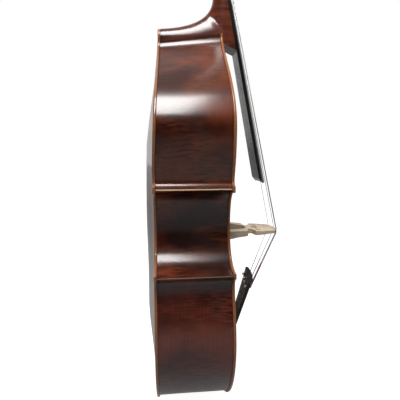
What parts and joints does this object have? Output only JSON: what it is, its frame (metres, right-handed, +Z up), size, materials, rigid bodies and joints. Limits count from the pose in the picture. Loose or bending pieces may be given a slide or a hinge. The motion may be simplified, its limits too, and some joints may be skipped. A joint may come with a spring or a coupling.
{
  "type": "double bass",
  "caption": "Upright double bass with carved plates, deep ribs, a neck with machine heads, fingerboard, tall bridge, slanted tailpiece, strings and a sliding endpin.",
  "frame": {"origin": "centre of the flat foot of the endpin's rubber tip, with the endpin slid in", "axes": "+Z up along the instrument, -Y towards the listener (the top plate's side), +X the treble side"},
  "size_m": [0.614, 0.43, 1.8695],
  "materials": {
    "top": "glossy red-brown varnish over spruce",
    "back": "glossy red-brown varnish over flamed maple",
    "ribs": "glossy red-brown varnish over flamed maple",
    "neck": "glossy dark red-brown varnish over maple",
    "blocks": "bare planed spruce",
    "bridge": "bare maple",
    "ebony": "polished black ebony",
    "strings": "flat-wound steel",
    "brass": "polished brass",
    "steel": "ground steel",
    "rubber": "matte black rubber",
    "tail_cord": "black tail cord"
  },
  "bodies": {
    "instrument": {"top_plate": "top", "back_plate": "back", "rib_lower_bass": "ribs", "rib_waist_bass": "ribs", "rib_upper_bass": "ribs", "corner_block_lower_bass": "blocks", "corner_block_upper_bass": "blocks", "lining_top_lower_bass": "blocks", "lining_top_waist_bass": "blocks", "lining_top_upper_bass": "blocks", "lining_back_lower_bass": "blocks", "lining_back_waist_bass": "blocks", "lining_back_upper_bass": "blocks", "rib_lower_treble": "ribs", "rib_waist_treble": "ribs", "rib_upper_treble": "ribs", "corner_block_lower_treble": "blocks", "corner_block_upper_treble": "blocks", "lining_top_lower_treble": "blocks", "lining_top_waist_treble": "blocks", "lining_top_upper_treble": "blocks", "lining_back_lower_treble": "blocks", "lining_back_waist_treble": "blocks", "lining_back_upper_treble": "blocks", "neck_block": "blocks", "end_block": "blocks", "bass_bar": "blocks", "sound_post": "blocks", "neck": "neck", "fingerboard": "ebony", "nut": "ebony", "bridge": "bridge", "saddle": "ebony", "tailpiece": "ebony", "tailgut": "tail_cord", "endpin_collar": "ebony", "string_e": "strings", "tuner_plate_e": "brass", "string_a": "strings", "tuner_plate_a": "brass", "string_d": "strings", "tuner_plate_d": "brass", "string_g": "strings", "tuner_plate_g": "brass"},
    "peg_e": {"peg_e": "brass"},
    "key_e": {"worm_key_e": "brass"},
    "peg_g": {"peg_g": "brass"},
    "key_g": {"worm_key_g": "brass"},
    "peg_a": {"peg_a": "brass"},
    "key_a": {"worm_key_a": "brass"},
    "peg_d": {"peg_d": "brass"},
    "key_d": {"worm_key_d": "brass"},
    "endpin": {"endpin_rod": "steel", "endpin_tip": "rubber"},
    "endpin_screw": {"endpin_screw": "brass"}
  },
  "joints": [
    {"name": "peg_e_turn", "type": "hinge", "parent": "instrument", "child": "peg_e", "pos_m": [0, -0.01993, 1.634], "axis": [1, 0, 0], "continuous": true},
    {"name": "key_e_turn", "type": "hinge", "parent": "instrument", "child": "key_e", "pos_m": [-0.039, -0.01447, 1.6522], "axis": [0, 0.9578, -0.2873], "continuous": true},
    {"name": "peg_g_turn", "type": "hinge", "parent": "instrument", "child": "peg_g", "pos_m": [0, -0.01183, 1.661], "axis": [1, 0, 0], "continuous": true},
    {"name": "key_g_turn", "type": "hinge", "parent": "instrument", "child": "key_g", "pos_m": [0.039, -0.00637, 1.6792], "axis": [0, 0.9578, -0.2873], "continuous": true},
    {"name": "peg_a_turn", "type": "hinge", "parent": "instrument", "child": "peg_a", "pos_m": [0, -0.00133, 1.696], "axis": [1, 0, 0], "continuous": true},
    {"name": "key_a_turn", "type": "hinge", "parent": "instrument", "child": "key_a", "pos_m": [-0.039, 0.00413, 1.7142], "axis": [0, 0.9578, -0.2873], "continuous": true},
    {"name": "peg_d_turn", "type": "hinge", "parent": "instrument", "child": "peg_d", "pos_m": [0, 0.00677, 1.723], "axis": [1, 0, 0], "continuous": true},
    {"name": "key_d_turn", "type": "hinge", "parent": "instrument", "child": "key_d", "pos_m": [0.039, 0.01223, 1.7412], "axis": [0, 0.9578, -0.2873], "continuous": true},
    {"name": "endpin_slide", "type": "slide", "parent": "instrument", "child": "endpin", "axis": [0, 0, -1], "range_m": [0, 0.25]},
    {"name": "endpin_screw_turn", "type": "hinge", "parent": "instrument", "child": "endpin_screw", "pos_m": [0, 0.016, 0.0335], "axis": [0, 1, 0], "range_deg": [0, 540]}
  ],
  "couplings": [
    {"joint": "key_e_turn", "follows": "peg_e_turn", "ratio": 26},
    {"joint": "key_g_turn", "follows": "peg_g_turn", "ratio": 26},
    {"joint": "key_a_turn", "follows": "peg_a_turn", "ratio": 26},
    {"joint": "key_d_turn", "follows": "peg_d_turn", "ratio": 26}
  ]
}
